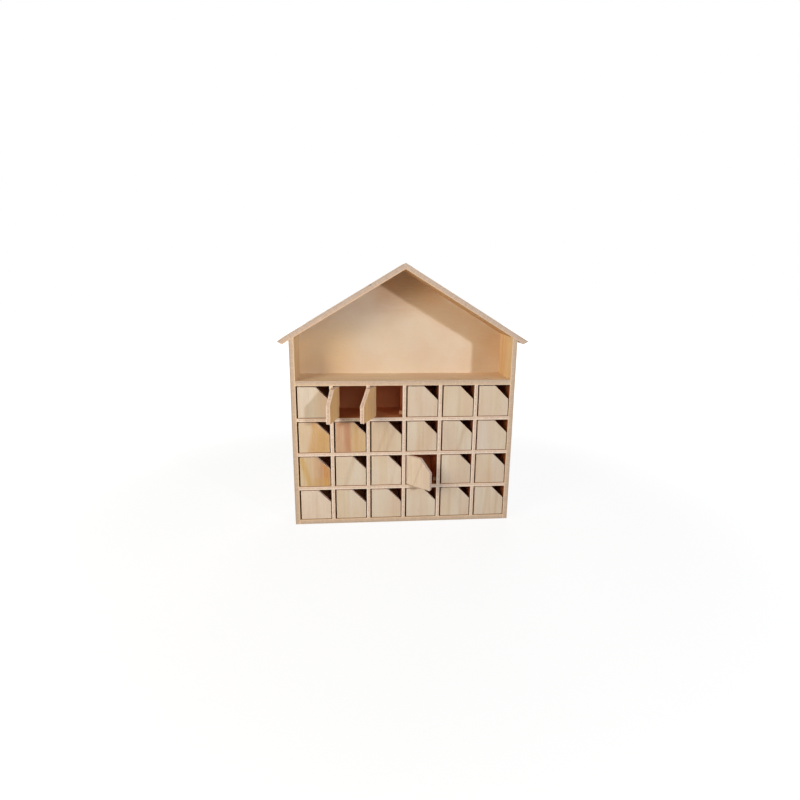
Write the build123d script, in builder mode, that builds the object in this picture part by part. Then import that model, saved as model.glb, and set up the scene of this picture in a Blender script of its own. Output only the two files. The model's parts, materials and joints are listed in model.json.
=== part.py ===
from build123d import *
from math import cos, hypot, radians, sin, tan
import os

# House-shaped advent calendar of plywood: an open gable space over a grid of compartments,
# each closed by a small door that turns on two pins near its left edge.
# Millimetres. The origin is the centre of the underside, the front faces -Y, and +Z is up.

# Doors: the leg of each cut corner as a share of the door's width, top row first.
# The corners were cut by hand, so they differ.
notch_shares = (
    (0.42, 0.43, 0.48, 0.46, 0.44, 0.46),
    (0.43, 0.40, 0.45, 0.43, 0.42, 0.42),
    (0.43, 0.44, 0.43, 0.42, 0.38, 0.41),
    (0.42, 0.47, 0.45, 0.44, 0.40, 0.41),
)
door_thickness = 6.0
door_edge_ease = 0.4
hinge_sweep_clearance = 0.95
latch_gap = 1.1
door_top_gap = 1.5
door_bottom_gap = 0.8

# Doors that stand open, by row and column counted from zero, in degrees from closed.
standing_angles = {(0, 1): 105.0, (0, 2): 114.5, (2, 3): 44.5}

# Grid of compartments
cell_width = 46.5
cell_height = 46.5
grid_thickness = 5.0
lap_clearance = 0.1

# Boards of the case
case_depth = 62.0
side_thickness = 7.0
bottom_thickness = 7.0
display_thickness = 7.0
back_thickness = 3.0
gable_wall_height = 56.3

# Roof
roof_angle = 31.0
roof_thickness = 7.0
eave_overhang = 16.0

# Hinge pins: wire driven into the boards, which close round it, and running in bores in the doors
pin_diameter = 2.0
pin_running_clearance = 0.05
pin_end_skin = 2.0
pin_engagement = 6.0
pin_bore_end_gap = 1.0
pivot_inset = 3.0

# Door stops
stop_width = 4.0
stop_depth = 5.0
stop_height = 5.0
stop_lift = 3.0
stop_clearance = 0.3

# How far a cut runs past the face that it opens
cut_overrun = 1.0

# Counts and pitches of the grid
row_count = len(notch_shares)
column_count = len(notch_shares[0])
column_pitch = cell_width + grid_thickness
row_pitch = cell_height + grid_thickness
grid_height = row_count * row_pitch - grid_thickness

# Widths and depths of the case
inner_width = column_count * column_pitch - grid_thickness
case_width = inner_width + 2 * side_thickness
total_depth = case_depth + back_thickness
front_y = -total_depth / 2
case_back_y = front_y + case_depth
case_middle_y = front_y + case_depth / 2
front_plane = Plane.XZ.offset(-front_y)

# Heights of the case
display_z = bottom_thickness + grid_height
wall_height = display_z + display_thickness + gable_wall_height
floor_zs = [bottom_thickness + row * row_pitch for row in reversed(range(row_count))]
shelf_zs = [floor_z - grid_thickness for floor_z in floor_zs[:-1]]

# Places across the grid
cell_left_xs = [column * column_pitch - inner_width / 2 for column in range(column_count)]
cell_right_xs = [left_x + cell_width for left_x in cell_left_xs]
divider_left_xs = cell_right_xs[:-1]

# Half-laps: the shelves are slotted from the back, the dividers from the front.
slot_width = grid_thickness + 2 * lap_clearance
shelf_slot_depth = case_depth / 2
divider_slot_depth = case_depth / 2 + lap_clearance

# Roof: both ends of each board are bevelled by the roof's angle, so the ridge is a mitre.
slope = tan(radians(roof_angle))
ridge_under_z = wall_height + slope * case_width / 2
ridge_top_z = ridge_under_z + roof_thickness / cos(radians(roof_angle))
eave_x = case_width / 2 + eave_overhang
eave_top_z = ridge_top_z - slope * eave_x
eave_bevel_run = 2 * roof_thickness * sin(radians(roof_angle))
eave_bevel_drop = roof_thickness * cos(radians(2 * roof_angle)) / cos(radians(roof_angle))

# Doors: the gap beside the hinge lets the door's corner sweep past the wall.
hinge_gap = hypot(pivot_inset, door_thickness / 2) - pivot_inset + hinge_sweep_clearance
door_width = cell_width - hinge_gap - latch_gap
door_height = cell_height - door_top_gap - door_bottom_gap
pivot_xs = [left_x + hinge_gap + pivot_inset for left_x in cell_left_xs]
pivot_y = front_y + door_thickness / 2

# Hinge pins and the bores that run on them
pin_radius = pin_diameter / 2
pin_bore_radius = pin_radius + pin_running_clearance
pin_bore_depth = pin_engagement + pin_bore_end_gap
pin_reach_down = door_top_gap + pin_engagement
pin_reach_up = door_bottom_gap + pin_engagement

# Door stops stand just behind the closed doors.
stop_y = front_y + door_thickness + stop_clearance

os.makedirs("parts", exist_ok=True)

# Side panels, with the top end bevelled to carry the roof
for name, side in (("left_side_panel", -1), ("right_side_panel", 1)):
    with BuildPart() as side_panel:
        with BuildSketch(front_plane):
            with BuildLine():
                Polyline(
                    (side * inner_width / 2, 0),
                    (side * case_width / 2, 0),
                    (side * case_width / 2, wall_height),
                    (side * inner_width / 2, wall_height + slope * side_thickness),
                    close=True,
                )
            make_face()
        extrude(amount=-case_depth)
    side_panel.part.label = name
    export_step(side_panel.part, f"parts/{name}.step")

# Bottom panel between the sides
with BuildPart() as bottom_panel:
    with BuildSketch(Plane.XY):
        with Locations((0, case_middle_y)):
            Rectangle(inner_width, case_depth)
    extrude(amount=bottom_thickness)
bottom_panel.part.label = "bottom_panel"
export_step(bottom_panel.part, "parts/bottom_panel.step")

# Display shelf, the floor of the gable space
with BuildPart() as display_shelf:
    with BuildSketch(Plane.XY.offset(display_z)):
        with Locations((0, case_middle_y)):
            Rectangle(inner_width, case_depth)
    extrude(amount=display_thickness)
display_shelf.part.label = "display_shelf"
export_step(display_shelf.part, "parts/display_shelf.step")

# Row shelves, whole in front and slotted from the back over the dividers
for number, shelf_z in enumerate(shelf_zs, 1):
    with BuildPart() as row_shelf:
        with BuildSketch(Plane.XY.offset(shelf_z)):
            with Locations((0, case_middle_y)):
                Rectangle(inner_width, case_depth)
            with Locations(*[(x - lap_clearance, case_back_y - shelf_slot_depth) for x in divider_left_xs]):
                Rectangle(
                    slot_width,
                    shelf_slot_depth + cut_overrun,
                    align=(Align.MIN, Align.MIN),
                    mode=Mode.SUBTRACT,
                )
        extrude(amount=grid_thickness)
    row_shelf.part.label = f"row_shelf_{number}"
    export_step(row_shelf.part, f"parts/row_shelf_{number}.step")

# Column dividers, slotted from the front over the row shelves
for number, divider_x in enumerate(divider_left_xs, 1):
    with BuildPart() as column_divider:
        with BuildSketch(Plane.YZ.offset(divider_x)):
            with Locations((front_y, bottom_thickness)):
                Rectangle(case_depth, grid_height, align=(Align.MIN, Align.MIN))
            with Locations(*[(front_y - cut_overrun, shelf_z - lap_clearance) for shelf_z in shelf_zs]):
                Rectangle(
                    divider_slot_depth + cut_overrun,
                    slot_width,
                    align=(Align.MIN, Align.MIN),
                    mode=Mode.SUBTRACT,
                )
        extrude(amount=grid_thickness)
    column_divider.part.label = f"column_divider_{number}"
    export_step(column_divider.part, f"parts/column_divider_{number}.step")

# Back panel, one house-shaped sheet behind the case and under the roof
with BuildPart() as back_panel:
    with BuildSketch(Plane.XZ.offset(-case_back_y)):
        with BuildLine():
            Polyline(
                (-case_width / 2, 0),
                (case_width / 2, 0),
                (case_width / 2, wall_height),
                (0, ridge_under_z),
                (-case_width / 2, wall_height),
                close=True,
            )
        make_face()
    extrude(amount=-back_thickness)
back_panel.part.label = "back_panel"
export_step(back_panel.part, "parts/back_panel.step")

# Roof panels, mitred at the ridge and bevelled under the eaves
for name, side in (("left_roof_panel", -1), ("right_roof_panel", 1)):
    with BuildPart() as roof_panel:
        with BuildSketch(front_plane):
            with BuildLine():
                Polyline(
                    (0, ridge_under_z),
                    (0, ridge_top_z),
                    (side * eave_x, eave_top_z),
                    (side * (eave_x - eave_bevel_run), eave_top_z - eave_bevel_drop),
                    close=True,
                )
            make_face()
        extrude(amount=-total_depth)
    roof_panel.part.label = name
    export_step(roof_panel.part, f"parts/{name}.step")

# Hinge pins: one row of pins for each board that carries them, from its lowest to its highest point
pin_rows = {
    "hinge_pins_display_shelf": (
        display_z - pin_reach_down,
        display_z + display_thickness - pin_end_skin,
    ),
    "hinge_pins_bottom_panel": (pin_end_skin, bottom_thickness + pin_reach_up),
}
for number, shelf_z in enumerate(shelf_zs, 1):
    pin_rows[f"hinge_pins_row_shelf_{number}"] = (
        shelf_z - pin_reach_down,
        shelf_z + grid_thickness + pin_reach_up,
    )
for name, (low_z, high_z) in pin_rows.items():
    with BuildPart() as hinge_pins:
        with Locations(*[(x, pivot_y, low_z) for x in pivot_xs]):
            Cylinder(pin_radius, high_z - low_z, align=(Align.CENTER, Align.CENTER, Align.MIN))
    hinge_pins.part.label = name
    export_step(hinge_pins.part, f"parts/{name}.step")

# Door stops: a small block low on the wall behind the free edge of each door
for number, floor_z in enumerate(floor_zs, 1):
    with BuildPart() as door_stops:
        with Locations(*[(x, stop_y, floor_z + stop_lift) for x in cell_right_xs]):
            Box(stop_width, stop_depth, stop_height, align=(Align.MAX, Align.MIN, Align.MIN))
    door_stops.part.label = f"door_stops_row_{number}"
    export_step(door_stops.part, f"parts/door_stops_row_{number}.step")

# Doors, numbered along the rows from the top left. Each is drawn about its pivot line,
# on a plane turned by the angle at which that door stands.
for row, shares in enumerate(notch_shares):
    for column, notch_share in enumerate(shares):
        angle = standing_angles.get((row, column), 0)
        pivot_x = pivot_xs[column]
        low_z = floor_zs[row] + door_bottom_gap
        hinge_plane = Plane(
            origin=(pivot_x, pivot_y, low_z),
            x_dir=Vector(1, 0, 0).rotate(Axis.Z, -angle),
            z_dir=Vector(0, -1, 0).rotate(Axis.Z, -angle),
        )
        with BuildPart() as door:
            with BuildSketch(hinge_plane) as outline:
                with Locations((-pivot_inset, 0)):
                    Rectangle(door_width, door_height, align=(Align.MIN, Align.MIN))
                notch_corner = outline.vertices().sort_by(lambda corner: corner.X + corner.Y)[-1]
                chamfer(notch_corner, length=notch_share * door_width)
            extrude(amount=door_thickness / 2, both=True)
            faces_by_depth = door.faces().sort_by(Axis(hinge_plane.origin, hinge_plane.z_dir))
            chamfer(faces_by_depth[0].edges() + faces_by_depth[-1].edges(), length=door_edge_ease)
            with Locations(
                Location((pivot_x, pivot_y, low_z + door_height)),
                Location((pivot_x, pivot_y, low_z), (180, 0, 0)),
            ):
                Hole(pin_bore_radius, depth=pin_bore_depth)
        name = f"door_{row * column_count + column + 1:02d}"
        door.part.label = name
        export_step(door.part, f"parts/{name}.step")
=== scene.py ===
"""Plywood advent calendar house: wood, steel, floor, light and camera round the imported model."""
import json
import logging
import math
from dataclasses import dataclass, replace
from enum import Enum
from functools import partial, reduce
from typing import Dict, Mapping, Optional, Sequence, Tuple, Union

import bpy
import numpy as np
from mathutils import Matrix, Vector


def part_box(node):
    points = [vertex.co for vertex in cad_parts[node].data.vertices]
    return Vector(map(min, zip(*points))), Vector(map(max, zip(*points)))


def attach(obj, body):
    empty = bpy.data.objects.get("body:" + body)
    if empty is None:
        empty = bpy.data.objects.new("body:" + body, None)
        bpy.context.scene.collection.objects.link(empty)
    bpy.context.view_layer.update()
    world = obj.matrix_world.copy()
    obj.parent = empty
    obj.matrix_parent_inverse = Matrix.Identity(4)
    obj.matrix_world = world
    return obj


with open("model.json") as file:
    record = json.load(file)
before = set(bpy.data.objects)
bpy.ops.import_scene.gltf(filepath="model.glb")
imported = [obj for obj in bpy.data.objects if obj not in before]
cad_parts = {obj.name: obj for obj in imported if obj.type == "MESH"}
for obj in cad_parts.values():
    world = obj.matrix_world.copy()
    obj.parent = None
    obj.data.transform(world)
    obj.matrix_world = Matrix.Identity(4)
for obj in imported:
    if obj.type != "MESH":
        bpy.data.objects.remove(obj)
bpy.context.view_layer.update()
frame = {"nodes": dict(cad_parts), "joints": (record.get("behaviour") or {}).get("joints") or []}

log = logging.getLogger("advent_calendar")

Socket = bpy.types.NodeSocket
Sockets = Mapping[str, Socket]
Feed = Union[Socket, float, Sequence[float]]
Feeds = Mapping[Union[str, int], Feed]
Names = Tuple[str, ...]
Shares = Tuple[Tuple[str, float], ...]
Span = Tuple[float, float]
Triple = Tuple[float, float, float]
Tone = Tuple[float, float, float, float]

MM = 0.001
MM_PER_METRE = 1000.0
TO_MILLIMETRES: Triple = (MM_PER_METRE,) * 3
WHITE: Tone = (1.0, 1.0, 1.0, 1.0)


def tone(red: float, green: float, blue: float) -> Tone:
    """Turn a colour as read on a screen into the linear colour that shaders use.

    The screen's curve is a straight line near black and a power above it.

    Args:
        red, green, blue: Screen values from 0 to 255.

    Returns:
        The linear colour with full alpha.
    """
    share = np.array([red, green, blue]) / 255.0
    linear = np.where(share <= 0.04045, share / 12.92, ((share + 0.055) / 1.055) ** 2.4)
    return (*linear.tolist(), 1.0)


def put_in_scene(data: bpy.types.ID) -> bpy.types.Object:
    """Put a mesh, light or camera into the scene under its own name.

    Args:
        data: The mesh, light or camera.

    Returns:
        Its object.
    """
    made = bpy.data.objects.new(data.name, data)
    bpy.context.scene.collection.objects.link(made)
    return made


@dataclass(frozen=True)
class Noise:
    """A smooth random pattern. Where it makes patches, they ease in over the span from the least value."""

    scale: float
    detail: float
    roughness: float = 0.5
    span: Span = (0.0, 1.0)
    least: float = 0.0


class Graph:
    """Places nodes in one node tree and joins them. A feed is a socket or a plain value."""

    def __init__(self, tree: bpy.types.NodeTree) -> None:
        """Empty the tree that the nodes go into, and keep it."""
        tree.nodes.clear()
        self.tree = tree

    def node(self, kind: str, feeds: Optional[Feeds] = None, **settings: object) -> bpy.types.Node:
        """Place one node.

        Args:
            kind: Blender's name of the node's type.
            feeds: What each input takes, by its name or number.
            settings: Properties of the node.

        Returns:
            The node.
        """
        made = self.tree.nodes.new(kind)
        for name, value in settings.items():
            setattr(made, name, value)
        for key, value in (feeds or {}).items():
            if isinstance(value, bpy.types.NodeSocket):
                self.tree.links.new(value, made.inputs[key])
            else:
                made.inputs[key].default_value = value
        return made

    def end(self, shader: bpy.types.Node, kind: str = "ShaderNodeOutputMaterial") -> None:
        """Close the graph with a shader."""
        self.node(kind, {"Surface": shader.outputs[0]})

    def math(self, operation: str, a: Feed, b: Feed = 0.0) -> Socket:
        """Join two values by a Math operation."""
        return self.node("ShaderNodeMath", {0: a, 1: b}, operation=operation).outputs[0]

    def times(self, *values: Feed) -> Socket:
        """Multiply values."""
        return reduce(partial(self.math, "MULTIPLY"), values)

    def plus(self, *values: Feed) -> Socket:
        """Add up values."""
        return reduce(partial(self.math, "ADD"), values)

    def minus(self, a: Feed, b: Feed) -> Socket:
        """Take value b from value a."""
        return self.math("SUBTRACT", a, b)

    def total(self, *parts: Tuple[Feed, float]) -> Socket:
        """Add up values, each times its own weight."""
        return self.plus(*[self.times(value, weight) for value, weight in parts])

    def vector(self, operation: str, a: Feed, b: Feed) -> Socket:
        """Join two vectors by a Vector Math operation that gives a vector."""
        return self.node("ShaderNodeVectorMath", {0: a, 1: b}, operation=operation).outputs[0]

    def length(self, vector: Feed) -> Socket:
        """Give the length of a vector."""
        return self.node("ShaderNodeVectorMath", {0: vector}, operation="LENGTH").outputs["Value"]

    def split(self, vector: Feed) -> Tuple[Socket, Socket, Socket]:
        """Give the three values of a vector."""
        made = self.node("ShaderNodeSeparateXYZ", {0: vector})
        return made.outputs[0], made.outputs[1], made.outputs[2]

    def seeded(self, given: Sockets, step: Triple) -> Socket:
        """Move the given position by the seed times a step, so that each board has its own pattern."""
        offset = self.node("ShaderNodeVectorMath", {0: step, "Scale": given["Seed"]}, operation="SCALE")
        return self.vector("ADD", given["Position"], offset.outputs[0])

    def smooth(self, value: Feed, low: Feed, high: Feed, start: float = 0.0, end: float = 1.0) -> Socket:
        """Ease from start to end while the value goes from low to high."""
        feeds = {"Value": value, "From Min": low, "From Max": high, "To Min": start, "To Max": end}
        return self.node("ShaderNodeMapRange", feeds, interpolation_type="SMOOTHSTEP").outputs[0]

    def fade(self, value: Feed, low: Feed, high: Feed) -> Socket:
        """Ease from 1 to 0 while the value goes from low to high."""
        return self.smooth(value, low, high, start=1.0, end=0.0)

    def noise(self, position: Feed, look: Noise) -> Socket:
        """Give a smooth random value from 0 to 1 at a position."""
        feeds = {"Vector": position, "Scale": look.scale, "Detail": look.detail, "Roughness": look.roughness}
        return self.node("ShaderNodeTexNoise", feeds, noise_dimensions="3D").outputs[0]

    def patches(self, position: Feed, look: Noise) -> Socket:
        """Give patches: 1 where a smooth random value is high, the least value where it is low."""
        return self.smooth(self.noise(position, look), *look.span, start=look.least)

    def sway(self, position: Feed, look: Noise, reach: Feed) -> Socket:
        """Give a smooth random value that goes half the reach to either side of zero."""
        return self.times(self.minus(self.noise(position, look), 0.5), reach)

    def mix(self, share: Feed, a: Feed, b: Feed, blend: str = "MIX") -> Socket:
        """Blend colour b over colour a by a share from 0 to 1."""
        # The node's colours go in at its sockets 6 and 7.
        made = self.node("ShaderNodeMix", {0: share, 6: a, 7: b}, data_type="RGBA", blend_type=blend)
        return made.outputs[2]

    def tint(self, mask: Feed, share: float, a: Feed, b: Feed, blend: str = "MIX") -> Socket:
        """Blend colour b over colour a by a mask times a share."""
        return self.mix(self.times(mask, share), a, b, blend)


class ShaderGroup:
    """An effect that is built once as a node group and placed in many materials."""

    name: str = ""
    vectors: Names = ("Position",)
    values: Names = ()
    outputs: Names = ()

    def fill(self, graph: Graph, given: Sockets) -> Sockets:
        """Place the group's nodes.

        Args:
            graph: The group's graph.
            given: Its inputs by name.

        Returns:
            Its outputs by name.
        """
        raise NotImplementedError

    def tree(self) -> bpy.types.NodeTree:
        """Give the group's node tree, which is built the first time.

        Returns:
            The node tree.
        """
        found = bpy.data.node_groups.get(self.name)
        if found:
            return found
        tree = bpy.data.node_groups.new(self.name, "ShaderNodeTree")
        ports = (
            ("INPUT", "NodeSocketVector", self.vectors),
            ("INPUT", "NodeSocketFloat", self.values),
            ("OUTPUT", "NodeSocketFloat", self.outputs),
        )
        for way, kind, names in ports:
            for name in names:
                tree.interface.new_socket(name=name, in_out=way, socket_type=kind)
        graph = Graph(tree)
        entry = graph.node("NodeGroupInput")
        given = {name: entry.outputs[name] for name in self.vectors + self.values}
        graph.node("NodeGroupOutput", self.fill(graph, given))
        return tree

    def place(self, graph: Graph, feeds: Mapping[str, Feed], look: object = None) -> Dict[str, Socket]:
        """Place the group in a material.

        Args:
            graph: The material's graph.
            feeds: What inputs take, by name.
            look: A finish whose fields feed all other inputs, half_width the input Half Width.

        Returns:
            The group's outputs by name.
        """
        others = [name for name in self.vectors + self.values if name not in feeds]
        looked = {name: getattr(look, name.lower().replace(" ", "_")) for name in others}
        made = graph.node("ShaderNodeGroup", {**feeds, **looked}, node_tree=self.tree())
        return {name: made.outputs[name] for name in self.outputs}


@dataclass(frozen=True)
class VeneerFigure(ShaderGroup):
    """Grain of a sliced veneer, with the position in millimetres: across, through, along the grain.

    The rings are nested arches: the distance from the arch's axis, with the way along the grain
    pressed together by the rise, is divided by the ring width, and the rest of that division
    goes slowly from early wood to late wood and falls back at once. A speck is a small dot in
    some cells of a scattered pattern.
    """

    name = "veneer_figure"
    values = ("Seed", "Ring Width", "Arch Centre", "Arch Rise", "Wander", "Cloud Stretch")
    outputs = ("Rings", "Fibres", "Pores", "Clouds", "Blush", "Specks")
    seed_step: Triple = (31.7, 11.3, 57.1)
    ring_stretch: Triple = (1.0, 1.0, 0.08)
    ring_sway: Noise = Noise(0.06, 1.0)
    ragged: Noise = Noise(0.5, 3.0)
    ragged_share: float = 0.55
    late_rise: Span = (0.1, 0.86)
    late_fall: Span = (0.88, 1.0)
    vigour: Noise = Noise(0.11, 1.0, span=(0.3, 0.65), least=0.25)
    fibre_stretch: Triple = (1.0, 1.0, 0.02)
    fibres: Noise = Noise(2.2, 3.0, roughness=0.6)
    pore_stretch: Triple = (1.0, 1.0, 0.1)
    pores: Noise = Noise(2.0, 1.0, span=(0.66, 0.76))
    clouds: Noise = Noise(0.04, 2.0, span=(0.35, 0.68))
    blush_shift: Triple = (171.0, 59.0, 23.0)
    blush: Noise = Noise(0.022, 1.0, span=(0.38, 0.66))
    speck_scale: float = 0.07
    speck_size: Span = (0.015, 0.05)
    speck_chance: Span = (0.6, 0.9)

    def fill(self, graph: Graph, given: Sockets) -> Sockets:
        """Place the nodes of the rings, fibres, pores, clouds, blush and specks.

        Args:
            graph: The group's graph.
            given: Its inputs by name.

        Returns:
            Its outputs by name.
        """
        across, _, along = graph.split(given["Position"])
        moved = graph.seeded(given, self.seed_step)
        drawn = graph.vector("MULTIPLY", moved, self.ring_stretch)
        sway = graph.sway(drawn, self.ring_sway, given["Wander"])
        beside = graph.plus(graph.minus(across, given["Arch Centre"]), sway)
        lengthwise = graph.times(along, given["Arch Rise"])
        squares = graph.plus(graph.math("POWER", beside, 2.0), graph.math("POWER", lengthwise, 2.0))
        distance = graph.math("DIVIDE", graph.math("SQRT", squares), given["Ring Width"])
        ragged = graph.times(graph.noise(drawn, self.ragged), self.ragged_share)
        cycle = graph.math("FRACT", graph.plus(distance, ragged))
        late = graph.times(graph.smooth(cycle, *self.late_rise), graph.fade(cycle, *self.late_fall))

        fine = graph.vector("MULTIPLY", moved, self.fibre_stretch)
        short = graph.vector("MULTIPLY", moved, self.pore_stretch)
        pull = graph.node("ShaderNodeCombineXYZ", {0: 1.0, 1: 1.0, 2: given["Cloud Stretch"]})
        broad = graph.vector("MULTIPLY", moved, pull.outputs[0])
        apart = graph.vector("ADD", broad, self.blush_shift)
        cells = graph.node("ShaderNodeTexVoronoi", {"Vector": moved, "Scale": self.speck_scale}, feature="F1")
        chance, _, _ = graph.split(cells.outputs["Color"])
        dot = graph.fade(cells.outputs["Distance"], *self.speck_size)
        return {
            "Rings": graph.times(late, graph.patches(drawn, self.vigour)),
            "Fibres": graph.noise(fine, self.fibres),
            "Pores": graph.patches(short, self.pores),
            "Clouds": graph.patches(broad, self.clouds),
            "Blush": graph.patches(apart, self.blush),
            "Specks": graph.times(dot, graph.smooth(chance, *self.speck_chance)),
        }


@dataclass(frozen=True)
class PlySection(ShaderGroup):
    """Plies through a board's thickness, shown wherever the board is cut.

    The depth from one face to the other is divided into equal plies, and a thin glue line lies
    where two plies meet. The tone goes from 0 on one side of the board to 1 on the other,
    with a chance of its own for each ply. Every second ply is cut across and shows end grain.
    """

    name = "ply_section"
    values = ("Half Thickness", "Plies", "Seed")
    outputs = ("Face", "Ply Tone", "Glue Line", "End Grain")
    seed_step: Triple = (7.9, 3.1, 13.7)
    flatten: Triple = (1.0, 0.0, 1.0)
    wave: Noise = Noise(0.12, 2.0)
    wave_height: float = 0.5
    margin: float = 0.01
    chance_step: float = 7.3
    seam_span: Span = (0.03, 0.2)
    breaks: Noise = Noise(0.3, 1.0, span=(0.36, 0.56), least=0.15)
    grain: Noise = Noise(0.8, 4.0, roughness=0.7, span=(0.42, 0.64))
    face_depth: Span = (0.06, 0.3)
    side_span: Span = (0.42, 0.58)
    side_share: float = 0.6
    cross_share: float = 0.22
    chance_share: float = 0.18
    long_grain: float = 0.25

    def fill(self, graph: Graph, given: Sockets) -> Sockets:
        """Place the nodes of the plies, the glue lines and the cut fibres.

        Args:
            graph: The group's graph.
            given: Its inputs by name.

        Returns:
            Its outputs by name.
        """
        half, plies = given["Half Thickness"], given["Plies"]
        _, depth, _ = graph.split(given["Position"])
        outer = graph.minus(half, graph.math("ABSOLUTE", depth))
        moved = graph.seeded(given, self.seed_step)
        level = graph.vector("MULTIPLY", moved, self.flatten)
        wave = graph.sway(level, self.wave, self.wave_height)
        across = graph.math("DIVIDE", graph.plus(depth, wave), half)
        share = graph.plus(graph.times(across, 0.5), 0.5)
        count = graph.math("MAXIMUM", graph.times(share, plies), self.margin)
        count = graph.math("MINIMUM", count, graph.minus(plies, self.margin))
        number = graph.math("FLOOR", count)
        cross = graph.math("MODULO", number, 2.0)
        turn = graph.plus(number, graph.times(given["Seed"], self.chance_step))
        chance = graph.node("ShaderNodeTexWhiteNoise", {"W": turn}, noise_dimensions="1D").outputs["Value"]
        nearest = graph.math("ABSOLUTE", graph.minus(count, graph.math("ROUND", count)))
        seam = graph.times(graph.fade(nearest, *self.seam_span), graph.patches(level, self.breaks))
        past_first = graph.math("GREATER_THAN", count, 0.5)
        before_last = graph.math("LESS_THAN", count, graph.minus(plies, 0.5))
        side = graph.smooth(share, *self.side_span)
        tones = (side, self.side_share), (cross, self.cross_share), (chance, self.chance_share)
        turned = graph.total((cross, 1.0 - self.long_grain), (1.0, self.long_grain))
        return {
            "Face": graph.fade(outer, *self.face_depth),
            "Ply Tone": graph.total(*tones),
            "Glue Line": graph.times(seam, past_first, before_last),
            "End Grain": graph.times(graph.patches(moved, self.grain), turned),
        }


@dataclass(frozen=True)
class WoodOrPaintedShadeStreak(ShaderGroup):
    """A streak of other wood or of painted shade along the grain, with soft sides and ends and a wandering
    course.
    """

    name = "wood_or_painted_shade_streak"
    values = ("Seed", "Centre", "Half Width", "Slant", "Softness", "Middle", "Half Length")
    outputs = ("Mask",)
    seed_step: Triple = (23.9, 0.0, 41.3)
    stretch: Triple = (1.0, 1.0, 0.1)
    sway: Noise = Noise(0.16, 2.0)
    sway_share: float = 0.9
    end_span: Span = (0.45, 1.0)
    torn: Noise = Noise(0.8, 3.0, span=(0.25, 0.6), least=0.6)

    def fill(self, graph: Graph, given: Sockets) -> Sockets:
        """Place the nodes of the streak's sides, ends and torn edge.

        Args:
            graph: The group's graph.
            given: Its inputs by name.

        Returns:
            Its outputs by name.
        """
        across, _, along = graph.split(given["Position"])
        drawn = graph.vector("MULTIPLY", graph.seeded(given, self.seed_step), self.stretch)
        course = graph.plus(given["Centre"], graph.times(given["Slant"], along))
        sway = graph.sway(drawn, self.sway, graph.times(given["Half Width"], self.sway_share))
        off = graph.math("ABSOLUTE", graph.plus(graph.minus(across, course), sway))
        off = graph.math("DIVIDE", off, given["Half Width"])
        sides = graph.fade(off, graph.minus(1.0, given["Softness"]), graph.plus(1.0, given["Softness"]))
        far = graph.math("ABSOLUTE", graph.minus(along, given["Middle"]))
        ends = graph.fade(graph.math("DIVIDE", far, given["Half Length"]), *self.end_span)
        return {"Mask": graph.times(sides, ends, graph.patches(drawn, self.torn))}


@dataclass(frozen=True)
class PlyVoid(ShaderGroup):
    """A gap in a ply at the cut edge: an egg-shaped spot round a centre, with its half sizes."""

    name = "ply_void"
    vectors = ("Position", "Centre", "Half Size")
    outputs = ("Mask",)
    torn: Noise = Noise(1.1, 2.0)
    torn_share: float = 0.6
    rim_span: Span = (0.7, 1.3)

    def fill(self, graph: Graph, given: Sockets) -> Sockets:
        """Place the nodes that measure how far a point is from the centre.

        Args:
            graph: The group's graph.
            given: Its inputs by name.

        Returns:
            Its outputs by name.
        """
        off = graph.vector("SUBTRACT", given["Position"], given["Centre"])
        far = graph.length(graph.vector("DIVIDE", off, given["Half Size"]))
        torn = graph.times(graph.noise(given["Position"], self.torn), self.torn_share)
        return {"Mask": graph.fade(graph.plus(far, torn), *self.rim_span)}


@dataclass(frozen=True)
class CompartmentInside(ShaderGroup):
    """Marks where shade is painted: the walls of the compartments behind their front edges, and the rim next
    to those edges.

    The place is in the house's own millimetres.
    """

    name = "compartment_inside"
    vectors = ("Place",)
    outputs = ("Inside", "Rim")
    half_width: float = 152.0
    low: float = 7.0
    high: float = 208.0
    front: float = -32.5
    back: float = 29.5
    slack: float = 0.05
    start_depth: Span = (0.3, 1.4)
    rim_depth: Span = (11.0, 24.0)

    def fill(self, graph: Graph, given: Sockets) -> Sockets:
        """Place the nodes that compare a place with the block of compartments.

        Args:
            graph: The group's graph.
            given: Its inputs by name.

        Returns:
            Its outputs by name.
        """
        side, back, height = graph.split(given["Place"])
        between = graph.math("LESS_THAN", graph.math("ABSOLUTE", side), self.half_width + self.slack)
        above = graph.math("GREATER_THAN", height, self.low - self.slack)
        below = graph.math("LESS_THAN", height, self.high + self.slack)
        before = graph.math("LESS_THAN", back, self.back + self.slack)
        depth = graph.minus(back, self.front)
        inside = graph.times(between, above, below, before, graph.smooth(depth, *self.start_depth))
        return {"Inside": inside, "Rim": graph.times(inside, graph.fade(depth, *self.rim_depth))}


@dataclass(frozen=True)
class VeneerFinish:
    """Tones and grain of a sanded veneer face."""

    pale: Tone = tone(216, 194, 166)
    cloud: Tone = tone(212, 183, 146)
    band: Tone = tone(226, 214, 200)
    fibre: Tone = tone(238, 230, 220)
    pore: Tone = tone(196, 170, 144)
    blush: Tone = tone(246, 232, 226)
    speck: Tone = tone(150, 116, 86)
    cloud_share: float = 0.4
    band_share: float = 0.6
    fibre_share: float = 0.5
    pore_share: float = 0.35
    blush_share: float = 0.6
    speck_share: float = 0.0
    ring_width: float = 8.0
    arch_centre: float = 60.0
    arch_rise: float = 0.08
    wander: float = 14.0
    cloud_stretch: float = 0.35


@dataclass(frozen=True)
class EdgeFinish:
    """Tones of the plies where a board is cut, from one side to the other, and how many there are."""

    first: Tone = tone(246, 225, 204)
    last: Tone = tone(233, 204, 179)
    end: Tone = tone(176, 138, 112)
    glue: Tone = tone(150, 112, 88)
    plies: int = 3
    end_share: float = 0.5
    glue_share: float = 0.6


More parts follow.
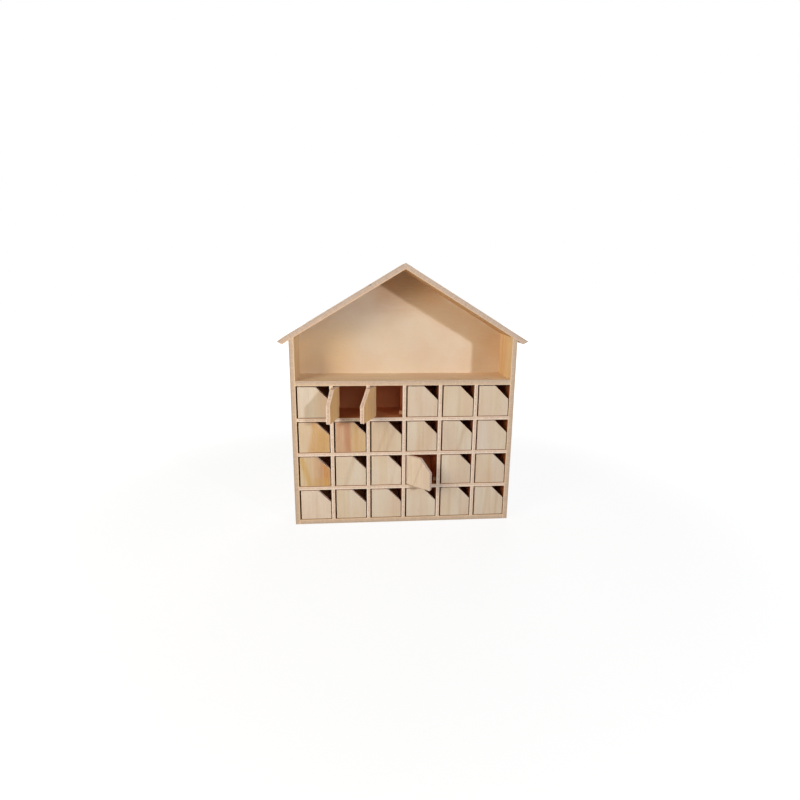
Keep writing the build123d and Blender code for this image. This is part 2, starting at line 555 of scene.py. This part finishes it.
@dataclass(frozen=True)
class PaintedShade:
    """Painted shade: a deeper colour inside the compartments, and on some boards a darker rim behind the
    front edge.
    """

    inside: Tone
    rim: Optional[Tone] = None
    share: float = 0.9


# Painted shade on the walls: deep inside the compartments, and darker still just behind the front edges.
WALL_PAINTED_SHADE = PaintedShade(tone(252, 176, 128), tone(148, 126, 112))


@dataclass(frozen=True)
class Streak:
    """A streak of other wood, or of painted shade on the back sheet, in millimetres across and along the
    grain from the board's own zero.
    """

    centre: float
    half_width: float
    colour: Tone
    share: float
    slant: float = 0.0
    softness: float = 0.45
    middle: float = 0.0
    half_length: float = 80.0


@dataclass(frozen=True)
class Void:
    """A dark gap in a board's edge, in the board's own millimetres."""

    centre: Triple
    half_size: Triple
    colour: Tone = tone(96, 66, 44)


@dataclass(frozen=True)
class BoardPlace:
    """Where a board lies: its zero in metres, grain, way through, and half thickness in millimetres."""

    zero: Vector
    grain: Vector
    through: Vector
    half_thickness: float

    def position(self, graph: Graph, coordinates: Socket) -> Socket:
        """Turn Object coordinates into the board's own millimetres.

        Args:
            graph: The material's graph.
            coordinates: The Object coordinates.

        Returns:
            The position across the grain, through the board and along the grain.
        """
        turn = Matrix((self.through.cross(self.grain), self.through, self.grain))
        feeds = {
            "Vector": coordinates,
            "Location": -(turn @ self.zero) * MM_PER_METRE,
            "Rotation": turn.to_euler(),
            "Scale": TO_MILLIMETRES,
        }
        return graph.node("ShaderNodeMapping", feeds, vector_type="POINT").outputs[0]


def dress(node: str, material: bpy.types.Material) -> None:
    """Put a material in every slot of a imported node.

    Args:
        node: The node's name.
        material: The material it gets.
    """
    for slot in frame["nodes"][node].material_slots:
        slot.material = material
    log.info("%s dressed in %s", node, material.name)


@dataclass(frozen=True)
class BoardMaterial:
    """The material of one board. A rear veneer shows on the face that the way through ends on."""

    node: str
    place: BoardPlace
    seed: float
    veneer: VeneerFinish
    edge: EdgeFinish
    streaks: Tuple[Streak, ...] = ()
    voids: Tuple[Void, ...] = ()
    rear: Optional[VeneerFinish] = None
    # Painted shade inside the compartments, where the board has any.
    painted_shade: Optional[PaintedShade] = None
    wood: str = "plywood"
    rear_depth: Span = (-0.5, 0.5)
    thread_span: Span = (0.35, 0.7)
    roughness: float = 0.6
    rough_shares: Shares = (("Fibres", 0.16), ("Pores", 0.1), ("Face", -0.08))
    relief_shares: Shares = (
        ("Fibres", 0.5), ("Rings", 0.35), ("Pores", -0.7), ("End Grain", -0.3), ("Glue Line", -0.5))
    relief_strength: float = 0.35
    relief_height: float = 0.18 * MM
    gloss: float = 0.3

    def dress(self) -> None:
        """Build the material from the board's grain and plies, and put it on the board."""
        made = bpy.data.materials.new(f"{self.node}_{self.wood}")
        made.use_nodes = True
        graph = Graph(made.node_tree)
        coordinates = graph.node("ShaderNodeTexCoord").outputs["Object"]
        position = self.place.position(graph, coordinates)
        feeds = {"Position": position, "Seed": self.seed}
        marks = VeneerFigure().place(graph, feeds, self.veneer)
        feeds["Half Thickness"] = self.place.half_thickness
        marks.update(PlySection().place(graph, feeds, self.edge))
        face = self.face_colour(graph, position, marks, self.veneer, self.streaks)
        if self.rear is not None:
            rear = self.face_colour(graph, position, marks, self.rear, ())
            _, depth, _ = graph.split(position)
            face = graph.mix(graph.smooth(depth, *self.rear_depth), face, rear)
        colour = graph.mix(marks["Face"], self.cut_colour(graph, marks), face)
        for void in self.voids:
            gap = PlyVoid().place(graph, {"Position": position}, void)
            colour = graph.mix(gap["Mask"], colour, void.colour)
        # Paint shade on the parts of the board inside the compartments.
        if self.painted_shade is not None:
            colour = self.add_painted_shade(graph, coordinates, colour, self.painted_shade)
        self.shade(graph, colour, marks)
        dress(self.node, made)

    def face_colour(self, graph: Graph, position: Socket, marks: Sockets, look: VeneerFinish,
                    streaks: Sequence[Streak]) -> Socket:
        """Colour a face: pale wood with clouds and streaks, tinted by rings, fibres, pores and specks.

        Each streak adds its number to the board's seed.

        Args:
            graph: The material's graph.
            position: The board's own millimetres.
            marks: The grain and the plies.
            look: The veneer's tones.
            streaks: Streaks of other wood in the face, and on the back sheet also painted shade.

        Returns:
            The colour of the face.
        """
        colour = graph.tint(marks["Clouds"], look.cloud_share, look.pale, look.cloud)
        for number, streak in enumerate(streaks):
            other = WoodOrPaintedShadeStreak().place(graph, {"Position": position, "Seed": self.seed + number}, streak)
            colour = graph.tint(other["Mask"], streak.share, colour, streak.colour)
        tints = (
            (marks["Rings"], look.band_share, look.band),
            (graph.smooth(marks["Fibres"], *self.thread_span), look.fibre_share, look.fibre),
            (marks["Pores"], look.pore_share, look.pore),
            (marks["Blush"], look.blush_share, look.blush),
            (marks["Specks"], look.speck_share, look.speck),
        )
        for mask, share, tint in tints:
            colour = graph.tint(mask, share, colour, tint, "MULTIPLY")
        return colour

    def cut_colour(self, graph: Graph, marks: Sockets) -> Socket:
        """Colour the cut edges: plies, cut fibres and glue lines.

        Args:
            graph: The material's graph.
            marks: The grain and the plies.

        Returns:
            The colour of the cut edges.
        """
        look = self.edge
        colour = graph.mix(marks["Ply Tone"], look.first, look.last)
        colour = graph.tint(marks["End Grain"], look.end_share, colour, look.end)
        return graph.tint(marks["Glue Line"], look.glue_share, colour, look.glue)

    def add_painted_shade(self, graph: Graph, coordinates: Socket, colour: Socket, painted_shade: PaintedShade) -> Socket:
        """Paint shade on the walls inside the compartments.

        Args:
            graph: The material's graph.
            coordinates: The Object coordinates.
            colour: The colour of the bare wood.
            painted_shade: The colours of the painted shade.

        Returns:
            The colour with the painted shade on it.
        """
        house = graph.vector("MULTIPLY", coordinates, TO_MILLIMETRES)
        inner = CompartmentInside().place(graph, {"Place": house})
        colour = graph.tint(inner["Inside"], painted_shade.share, colour, painted_shade.inside, "MULTIPLY")
        if painted_shade.rim is None:
            return colour
        return graph.tint(inner["Rim"], painted_shade.share, colour, painted_shade.rim, "MULTIPLY")

    def shade(self, graph: Graph, colour: Socket, marks: Sockets) -> None:
        """Feed the shader: colour, roughness and the relief of fibres, pores and plies.

        Args:
            graph: The material's graph.
            colour: The board's colour.
            marks: The grain and the plies.
        """
        rough = graph.total(*((marks[mark], share) for mark, share in self.rough_shares))
        bump = graph.node("ShaderNodeBump", {
            "Strength": self.relief_strength,
            "Distance": self.relief_height,
            "Height": graph.total(*((marks[mark], share) for mark, share in self.relief_shares)),
        })
        graph.end(graph.node("ShaderNodeBsdfPrincipled", {
            "Base Color": colour,
            "Roughness": graph.plus(rough, self.roughness),
            "Specular IOR Level": self.gloss,
            "Normal": bump.outputs[0],
        }))


@dataclass(frozen=True)
class SteelMaterial:
    """Drawn wire and pressed heads of bright steel."""

    name: str
    bright: Tone = tone(176, 174, 170)
    dull: Tone = tone(118, 112, 106)
    stretch: Triple = (9000.0, 9000.0, 260.0)
    lines: Noise = Noise(1.0, 3.0, roughness=0.6)
    spots: Noise = Noise(900.0, 3.0, span=(0.45, 0.7))
    roughness: float = 0.2
    line_roughness: float = 0.25
    spot_roughness: float = 0.2
    relief_strength: float = 0.2
    relief_height: float = 0.04 * MM

    def make(self) -> bpy.types.Material:
        """Build the material.

        Returns:
            The material, with drawing lines along the wire and dull spots.
        """
        made = bpy.data.materials.new(self.name)
        made.use_nodes = True
        graph = Graph(made.node_tree)
        coordinates = graph.node("ShaderNodeTexCoord").outputs["Object"]
        lines = graph.noise(graph.vector("MULTIPLY", coordinates, self.stretch), self.lines)
        spots = graph.patches(coordinates, self.spots)
        rough = graph.total((lines, self.line_roughness), (spots, self.spot_roughness))
        bump = graph.node("ShaderNodeBump", {
            "Strength": self.relief_strength,
            "Distance": self.relief_height,
            "Height": lines,
        })
        graph.end(graph.node("ShaderNodeBsdfPrincipled", {
            "Base Color": graph.mix(spots, self.bright, self.dull),
            "Roughness": graph.plus(rough, self.roughness),
            "Metallic": 1.0,
            "Normal": bump.outputs[0],
        }))
        return made


class Run(Enum):
    """Ways that a board's grain or thickness runs."""

    WIDTH = (1.0, 0.0, 0.0)
    DEPTH = (0.0, 1.0, 0.0)
    HEIGHT = (0.0, 0.0, 1.0)

    def way(self) -> Vector:
        """Give the direction as a vector."""
        return Vector(self.value)


def flat_board(node: str, through: Run, grain: Run, outward: int = 1) -> BoardPlace:
    """Work out where a square-cut board lies from the node's own box.

    Args:
        node: The node's name.
        through: The way through its thickness.
        grain: The way its grain runs.
        outward: 1 where the way through ends on the outer face, -1 where it starts there.

    Returns:
        The board's place, with its zero in the middle of the board.
    """
    low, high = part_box(node)
    half = (high - low).dot(through.way()) / 2 * MM_PER_METRE
    return BoardPlace((low + high) / 2, grain.way(), through.way() * outward, half)


@dataclass
class CaseBoards:
    """The two sides, the bottom and the display shelf."""

    veneer: VeneerFinish = VeneerFinish(
        pale=tone(234, 207, 162), cloud=tone(226, 193, 144), ring_width=12.0, wander=30.0, band_share=0.4)
    shelf_veneer: VeneerFinish = replace(veneer, pale=tone(241, 219, 189), cloud=tone(233, 207, 171))
    edge: EdgeFinish = EdgeFinish(
        plies=4, first=tone(229, 198, 165), last=tone(195, 174, 155), glue=tone(146, 112, 90))
    # Painted shade on these boards where they face into the compartments.
    painted_shade: PaintedShade = WALL_PAINTED_SHADE
    first_seed: float = 2.3

    def build(self) -> None:
        """Dress each board with its own grain."""
        boards = (
            ("left_side_panel", Run.WIDTH, Run.HEIGHT, -1, self.veneer),
            ("right_side_panel", Run.WIDTH, Run.HEIGHT, 1, self.veneer),
            ("bottom_panel", Run.HEIGHT, Run.WIDTH, -1, self.veneer),
            ("display_shelf", Run.HEIGHT, Run.WIDTH, 1, self.shelf_veneer),
        )
        for number, (node, through, grain, outward, veneer) in enumerate(boards):
            place = flat_board(node, through, grain, outward)
            seed = self.first_seed + number
            BoardMaterial(node, place, seed, veneer, self.edge, painted_shade=self.painted_shade).dress()


@dataclass
class GableRoof:
    """The two roof boards, which lean against each other at the ridge."""

    pitch: float = 31.0
    thickness: float = 7.0
    ridge: Triple = (0.0, 0.0, 0.375)
    veneer: VeneerFinish = VeneerFinish(
        pale=tone(217, 182, 138), cloud=tone(209, 171, 124), ring_width=12.0, wander=26.0, band_share=0.4)
    edge: EdgeFinish = EdgeFinish(
        plies=4, first=tone(222, 191, 164), last=tone(198, 180, 166), glue=tone(140, 106, 84))
    left_voids: Tuple[Void, ...] = (Void((32.0, 3.3, 56.0), (3.0, 1.1, 2.2)),)
    first_seed: float = 11.6

    def build(self) -> None:
        """Dress both boards, with the grain down the slope."""
        angle = math.radians(self.pitch)
        half = self.thickness / 2
        boards = (("left_roof_panel", -1, self.left_voids), ("right_roof_panel", 1, ()))
        for number, (node, side, voids) in enumerate(boards):
            slope = Vector((side * math.cos(angle), 0.0, -math.sin(angle)))
            outward = Vector((side * math.sin(angle), 0.0, math.cos(angle)))
            place = BoardPlace(Vector(self.ridge) - outward * (half * MM), slope, outward, half)
            seed = self.first_seed + number
            BoardMaterial(node, place, seed, self.veneer, self.edge, voids=voids).dress()


@dataclass(frozen=True)
class BoardKind:
    """Boards of one kind in the grid: how many there are, how they lie and how they look."""

    name: str
    count: int
    through: Run
    grain: Run
    first_seed: float
    veneer: VeneerFinish
    edge: EdgeFinish
    painted_shade: Optional[PaintedShade] = None
    wood: str = "plywood"


@dataclass
class CompartmentGrid:
    """The row shelves, the column dividers and the door stops glued to them."""

    veneer: VeneerFinish = VeneerFinish(pale=tone(218, 190, 158), ring_width=7.0, wander=20.0, band_share=0.4)
    edge: EdgeFinish = EdgeFinish()
    # Painted shade on the row shelves inside the compartments.
    shelf_painted_shade: PaintedShade = PaintedShade(tone(252, 190, 143))
    stop_veneer: VeneerFinish = VeneerFinish(pale=tone(198, 154, 112), ring_width=1.6, wander=3.0)
    stop_edge: EdgeFinish = EdgeFinish(plies=1, first=tone(204, 160, 118), last=tone(194, 150, 110))
    kinds: Tuple[BoardKind, ...] = (
        BoardKind("row_shelf", 3, Run.HEIGHT, Run.WIDTH, 20.4, veneer, edge, shelf_painted_shade),
        BoardKind("column_divider", 5, Run.WIDTH, Run.HEIGHT, 30.7, veneer, edge, WALL_PAINTED_SHADE),
        BoardKind("door_stops_row", 4, Run.HEIGHT, Run.DEPTH, 40.1, stop_veneer, stop_edge, wood="pine"),
    )

    def build(self) -> None:
        """Dress every board of each kind with its own grain."""
        for kind in self.kinds:
            for number in range(1, kind.count + 1):
                node = f"{kind.name}_{number}"
                place = flat_board(node, kind.through, kind.grain)
                look = BoardMaterial(node, place, kind.first_seed + number, kind.veneer, kind.edge)
                replace(look, painted_shade=kind.painted_shade, wood=kind.wood).dress()


ORANGE = tone(200, 140, 74)
AMBER = tone(206, 166, 110)
GOLD = tone(205, 165, 100)
ROSE = tone(196, 150, 114)
RUST = tone(184, 122, 84)
PEACH = tone(214, 180, 148)
STRAW = tone(212, 184, 142)
CREAM = tone(224, 214, 202)
TAN = tone(192, 162, 130)
PALE = tone(238, 222, 204)


def vein(centre: float, half_width: float, share: float, slant: float = 0.0, colour: Tone = TAN) -> Streak:
    """Give a narrow streak with very soft sides."""
    return Streak(centre, half_width, colour, share, slant, softness=0.9)


# Heartwood and grain of single doors by number, and on door 19 painted light. A door's zero is its hinge
# line.
DOOR_STREAKS: Mapping[int, Tuple[Streak, ...]] = {
    1: (Streak(6, 9, CREAM, 0.3),),
    4: (vein(15, 2.5, 0.15),),
    5: (Streak(10, 16, STRAW, 0.3), vein(20, 2.2, 0.3), Streak(33, 9, PEACH, 0.5)),
    6: (vein(22, 3, 0.3, colour=STRAW),),
    7: (
        Streak(4, 20, STRAW, 0.5),
        Streak(29, 16.5, AMBER, 0.85, slant=0.25, softness=0.42),
        Streak(32, 9, GOLD, 0.6, middle=-8, half_length=26),
        Streak(18, 4, ORANGE, 0.4, softness=0.8, middle=22, half_length=12),
    ),
    8: (
        Streak(7, 24, ROSE, 0.88),
        Streak(32, 11, AMBER, 0.8),
        Streak(15.5, 4.4, RUST, 0.62, slant=-0.06, softness=0.95),
        Streak(21.5, 2.2, STRAW, 0.7, softness=0.8),
        Streak(4, 5, RUST, 0.5, middle=23, half_length=10),
    ),
    9: (Streak(20, 30, STRAW, 0.3), vein(14, 2.2, 0.32, 0.33), vein(26, 2.4, 0.32, 0.36)),
    10: (vein(14, 2.6, 0.3, colour=AMBER), vein(20, 1.2, 0.25)),
    11: (vein(26, 2.4, 0.4, 0.26),),
    12: (Streak(5, 6, CREAM, 0.6, softness=0.8),),
    13: (
        Streak(16, 26, STRAW, 0.8),
        Streak(37, 8, ORANGE, 0.9, middle=-8, half_length=40),
        Streak(27, 1.6, RUST, 0.45, softness=0.9, middle=-4, half_length=30),
        Streak(24, 6, ROSE, 0.4),
        Streak(5, 3.6, GOLD, 0.8, slant=-0.26, softness=0.7),
        Streak(30, 14, GOLD, 0.6, middle=-22, half_length=16),
    ),
    14: (Streak(17, 3.4, TAN, 0.35, slant=0.3, softness=0.8),),
    15: (Streak(14, 6, STRAW, 0.35), vein(30, 1.6, 0.2, 0.2)),
    16: (Streak(20, 40, PALE, 0.7), vein(20, 1.6, 0.3, 0.4)),
    17: (Streak(31, 8, TAN, 0.25),),
    18: (vein(17, 2.4, 0.4, colour=STRAW),),
    # Painted light: a wide pale streak that lightens the lowest left door, as if more light fell there.
    19: (Streak(20, 40, PALE, 0.5), vein(19, 1.4, 0.25)),
    20: (Streak(6, 7, STRAW, 0.35),),
    23: (vein(10, 1.8, 0.3), vein(27, 2.4, 0.3)),
    24: (vein(14, 2.0, 0.3, 0.08), vein(30, 1.8, 0.25)),
}


@dataclass
class DoorSet:
    """The doors, each cut from its own piece of plywood.

    Chance draws each door's lightness, ring width, arch centre, wander and share of late wood.
    """

    thickness: float = 6.0
    pale: Triple = (221.0, 204.0, 183.0)
    inner_face: Tone = tone(239, 194, 132)
    fibre_share: float = 0.2
    edge: EdgeFinish = EdgeFinish(
        first=tone(236, 212, 192), last=tone(226, 198, 174), end=tone(160, 116, 94), end_share=0.7,
        glue=tone(136, 94, 72), glue_share=0.8)
    lowest_draw: Tuple[float, ...] = (-3.0, 7.0, -70.0, 14.0, 0.05)
    highest_draw: Tuple[float, ...] = (3.0, 15.0, 90.0, 34.0, 0.28)
    chance_seed: int = 24
    first_seed: float = 50.0
    seed_step: float = 3.7

    def build(self) -> None:
        """Dress each door, with its grain turned to where the door stands."""
        chance = np.random.default_rng(self.chance_seed)
        for joint in frame["joints"]:
            number = int(joint["name"].split("_")[1])
            angle = math.radians(-joint["range_deg"][0])
            inward = Vector((math.sin(angle), math.cos(angle), 0.0))
            place = BoardPlace(Vector(joint["pos_m"]), Run.HEIGHT.way(), inward, self.thickness / 2)
            drawn = chance.uniform(self.lowest_draw, self.highest_draw)
            lightness, ring_width, arch_centre, wander, band_share = drawn
            rear = VeneerFinish(
                pale=self.inner_face, ring_width=ring_width, arch_centre=arch_centre, wander=wander,
                band_share=band_share, fibre_share=self.fibre_share)
            veneer = replace(rear, pale=tone(*(value + lightness for value in self.pale)))
            streaks = DOOR_STREAKS.get(number, ())
            seed = self.first_seed + self.seed_step * number
            BoardMaterial(f"door_{number:02d}", place, seed, veneer, self.edge, streaks, rear=rear).dress()


@dataclass
class HingeWires:
    """The wires that the doors turn on, by the boards that hold them."""

    boards: Names = ("display_shelf", "row_shelf_1", "row_shelf_2", "row_shelf_3", "bottom_panel")

    def build(self) -> None:
        """Dress every row of wires in the same steel."""
        steel = SteelMaterial("hinge_wire_steel").make()
        for board in self.boards:
            dress(f"hinge_pins_{board}", steel)


@dataclass
class BackSheet:
    """The thin back sheet and the brads that hold it, with the brads' places in millimetres."""

    veneer: VeneerFinish = VeneerFinish(
        pale=tone(220, 199, 174), cloud=tone(214, 188, 151), ring_width=17.0, wander=60.0, arch_centre=70.0,
        arch_rise=0.16, band_share=0.0, fibre_share=0.12, cloud_share=0.3, cloud_stretch=0.9, blush_share=0.3,
        speck_share=0.8)
    rear_veneer: VeneerFinish = replace(
        veneer, pale=tone(219, 193, 158), band_share=0.7, fibre_share=0.45, cloud_share=0.15, blush_share=0.1,
        speck_share=0.4)
    edge: EdgeFinish = EdgeFinish()
    # Painted shade on the sheet inside the compartments.
    painted_shade: PaintedShade = PaintedShade(tone(252, 185, 136))
    # The first patch makes the left of the sheet yellower. The other three are painted shade: a darker golden
    # brown under the ridge, a band along the right roof board where its shadow falls, and a patch beside the
    # right wall where its shadow falls.
    patches: Tuple[Streak, ...] = (
        Streak(-64, 40, tone(236, 198, 142), 0.6, softness=0.8, middle=-140, half_length=90),
        Streak(-166, 30, tone(200, 148, 92), 0.6, softness=0.8, middle=12, half_length=70),
        Streak(-163, 20, tone(204, 160, 106), 0.3, slant=0.6, softness=0.5, middle=80, half_length=130),
        Streak(-62, 36, tone(204, 160, 106), 0.25, softness=0.7, middle=150, half_length=60),
    )
    seed: float = 71.2
    head_radius: float = 1.1
    head_rise: float = 0.3
    rings: int = 4
    spokes: int = 14
    side_x: float = 155.5
    side_heights: Tuple[float, ...] = (18.0, 76.0, 134.0, 192.0, 250.0)
    rail_heights: Tuple[float, ...] = (3.5, 211.5)
    rail_xs: Tuple[float, ...] = (-104.0, -52.0, 0.0, 52.0, 104.0)
    back_y: float = 32.5

    def build(self) -> None:
        """Dress the sheet and set the brad heads on it."""
        place = flat_board("back_panel", Run.DEPTH, Run.WIDTH)
        look = BoardMaterial("back_panel", place, self.seed, self.veneer, self.edge, self.patches)
        replace(look, rear=self.rear_veneer, painted_shade=self.painted_shade).dress()
        self.brads()

    def brads(self) -> None:
        """Set low domed heads round the sheet and along the display shelf.

        The faces of a head are three-sided round its middle point and four-sided between its rings.
        """
        spots = [(side * self.side_x, self.back_y, z) for side in (-1, 1) for z in self.side_heights]
        spots += [(x, self.back_y, z) for z in self.rail_heights for x in self.rail_xs]
        head = self.head_points()
        points = np.array(spots)[:, None, :] + head
        index = 1 + np.arange(self.rings * self.spokes).reshape(self.rings, self.spokes)
        following = np.roll(index, -1, axis=1)
        fan = np.stack([np.zeros(self.spokes, int), following[0], index[0]], axis=-1)
        quads = np.stack([index[:-1], following[:-1], following[1:], index[1:]], axis=-1).reshape(-1, 4)
        starts = np.arange(len(spots))[:, None, None] * len(head)
        faces = (starts + fan).reshape(-1, 3).tolist() + (starts + quads).reshape(-1, 4).tolist()
        mesh = bpy.data.meshes.new("back_panel_brads")
        mesh.from_pydata((points.reshape(-1, 3) * MM).tolist(), [], faces)
        mesh.polygons.foreach_set("use_smooth", [True] * len(mesh.polygons))
        mesh.update()
        mesh.materials.append(SteelMaterial("brad_steel").make())
        piece = put_in_scene(mesh)
        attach(piece, "cabinet")
        log.info("back_panel_brads: %d heads", len(spots))

    def head_points(self) -> np.ndarray:
        """Work out the points of one head round its own place.

        A head is a disc of rings and spokes. Its rise is the full height times one less the
        square of the share of the radius.

        Returns:
            The middle point, then the points of each ring from the inside out.
        """
        shares = np.linspace(0.0, 1.0, self.rings + 1)[1:]
        turns = np.linspace(0.0, 2 * math.pi, self.spokes, endpoint=False)
        share, turn = np.meshgrid(shares, turns, indexing="ij")
        disc = np.stack([
            self.head_radius * share * np.cos(turn),
            self.head_rise * (1.0 - share ** 2),
            self.head_radius * share * np.sin(turn),
        ], axis=-1)
        return np.vstack([[(0.0, self.head_rise, 0.0)], disc.reshape(-1, 3)])


@dataclass(frozen=True)
class Lamp:
    """A square lamp: where it hangs and how large it is in metres, its watts and its colour."""

    name: str
    place: Triple
    size: float
    power: float
    colour: Triple = (1.0, 1.0, 1.0)


@dataclass
class Studio:
    """The floor, the lamps, the white surround and the camera, in metres and degrees."""

    floor_half: float = 4.0
    floor_drop: float = 0.0004
    floor_lines: int = 9
    paper: Tone = (0.5, 0.5, 0.5, 1.0)
    floor_glow: float = 1.25
    shade_reach: Span = (0.35, 1.1)
    shade_share: float = 0.3
    lamps: Tuple[Lamp, ...] = (
        Lamp("key_lamp", (1.087, -1.368, 0.586), 0.09, 12.6, (0.9, 1.0, 1.14)),
        Lamp("front_lamp", (0.12, -1.3, 0.75), 0.5, 1.8, (1.0, 0.97, 0.92)),
        Lamp("side_lamp", (-0.87, -0.8, 0.55), 0.6, 10.4, (1.0, 0.93, 0.8)),
        Lamp("top_lamp", (-0.2, 0.6, 1.8), 1.0, 4.5),
        Lamp("rear_lamp", (0.5, 1.5, 0.5), 0.9, 16.0),
    )
    aim: Triple = (0.0, 0.0, 0.19)
    surround: Tone = (1.0, 0.96, 0.9, 1.0)
    surround_strength: float = 0.015
    camera_place: Triple = (-0.063725, -0.718208, 0.345652)
    camera_pitch: float = -12.9753
    camera_yaw: float = 4.7891
    camera_roll: float = 0.542
    camera_near: float = 0.01
    lens_mm: float = 22.4014
    sensor_mm: float = 36.0

    def build(self) -> None:
        """Set up the floor, the light and the camera."""
        self.floor()
        for lamp in self.lamps:
            self.hang(lamp)
        self.world()
        self.camera()
        bpy.context.scene.view_settings.view_transform = "Standard"

    def seen(self, graph: Graph) -> Socket:
        """Tell what is looked at from what only lights.

        Args:
            graph: The graph of a material or the world.

        Returns:
            1 on rays from the camera, from gloss and through glass, and 0 on all others.
        """
        path = graph.node("ShaderNodeLightPath")
        first = graph.math("MAXIMUM", path.outputs["Is Camera Ray"], path.outputs["Is Glossy Ray"])
        return graph.math("MAXIMUM", first, path.outputs["Is Transmission Ray"])

    def floor(self) -> None:
        """Lay a flat floor of square faces that is white to the camera and keeps the object's shadow."""
        reach = np.linspace(-self.floor_half, self.floor_half, self.floor_lines)
        x, y = np.meshgrid(reach, reach, indexing="ij")
        points = np.stack([x, y, np.full_like(x, -self.floor_drop)], axis=-1)
        index = np.arange(x.size).reshape(x.shape)
        quads = np.stack([index[:-1, :-1], index[1:, :-1], index[1:, 1:], index[:-1, 1:]], axis=-1)
        mesh = bpy.data.meshes.new("studio_floor")
        mesh.from_pydata(points.reshape(-1, 3).tolist(), [], quads.reshape(-1, 4).tolist())
        mesh.materials.append(self.floor_material())
        piece = put_in_scene(mesh)

    def floor_material(self) -> bpy.types.Material:
        """Make the floor's material: plain white far off, a little shade kept near the object.

        Returns:
            The material.
        """
        made = bpy.data.materials.new("studio_floor_paper")
        made.use_nodes = True
        graph = Graph(made.node_tree)
        far = graph.length(graph.node("ShaderNodeTexCoord").outputs["Object"])
        share = graph.smooth(far, *self.shade_reach, start=self.shade_share, end=0.0)
        paper = graph.node("ShaderNodeBsdfDiffuse", {"Color": self.paper}).outputs[0]
        glow = graph.node("ShaderNodeEmission", {"Color": WHITE, "Strength": self.floor_glow}).outputs[0]
        near = graph.node("ShaderNodeMixShader", {0: share, 1: glow, 2: paper}).outputs[0]
        graph.end(graph.node("ShaderNodeMixShader", {0: self.seen(graph), 1: paper, 2: near}))
        return made

    def hang(self, lamp: Lamp) -> None:
        """Hang a lamp that points at the object.

        Args:
            lamp: The lamp's place, size and light.
        """
        data = bpy.data.lights.new(lamp.name, "AREA")
        data.shape = "SQUARE"
        data.size = lamp.size
        data.energy = lamp.power
        data.color = lamp.colour
        hung = put_in_scene(data)
        hung.location = lamp.place
        ahead = Vector(self.aim) - Vector(lamp.place)
        hung.rotation_euler = ahead.to_track_quat("-Z", "Y").to_euler()

    def world(self) -> None:
        """Make a surround that is white to the camera and a faint warm light to the object."""
        made = bpy.data.worlds.new("studio_surround")
        made.use_nodes = True
        graph = Graph(made.node_tree)
        faint = {"Color": self.surround, "Strength": self.surround_strength}
        soft = graph.node("ShaderNodeBackground", faint).outputs[0]
        white = graph.node("ShaderNodeBackground", {"Color": WHITE, "Strength": 1.0}).outputs[0]
        both = graph.node("ShaderNodeMixShader", {0: self.seen(graph), 1: soft, 2: white})
        graph.end(both, "ShaderNodeOutputWorld")
        bpy.context.scene.world = made

    def camera(self) -> None:
        """Set the camera where the photograph was taken from."""
        data = bpy.data.cameras.new("photo_camera")
        data.lens = self.lens_mm
        data.sensor_width = self.sensor_mm
        data.clip_start = self.camera_near
        camera = put_in_scene(data)
        # A camera looks straight down before it is turned.
        turned = Matrix.Rotation(math.radians(-self.camera_yaw), 4, "Z")
        tipped = Matrix.Rotation(math.radians(90.0 + self.camera_pitch), 4, "X")
        rolled = Matrix.Rotation(math.radians(self.camera_roll), 4, "Z")
        camera.matrix_world = Matrix.Translation(self.camera_place) @ turned @ tipped @ rolled
        bpy.context.scene.camera = camera


def main() -> None:
    """Build every sub-assembly in order."""
    logging.basicConfig(level=logging.INFO, format="%(name)s: %(message)s")
    for assembly in (CaseBoards, GableRoof, CompartmentGrid, DoorSet, HingeWires, BackSheet, Studio):
        assembly().build()
        log.info("%s ready", assembly.__name__)


if __name__ == "__main__":
    main()
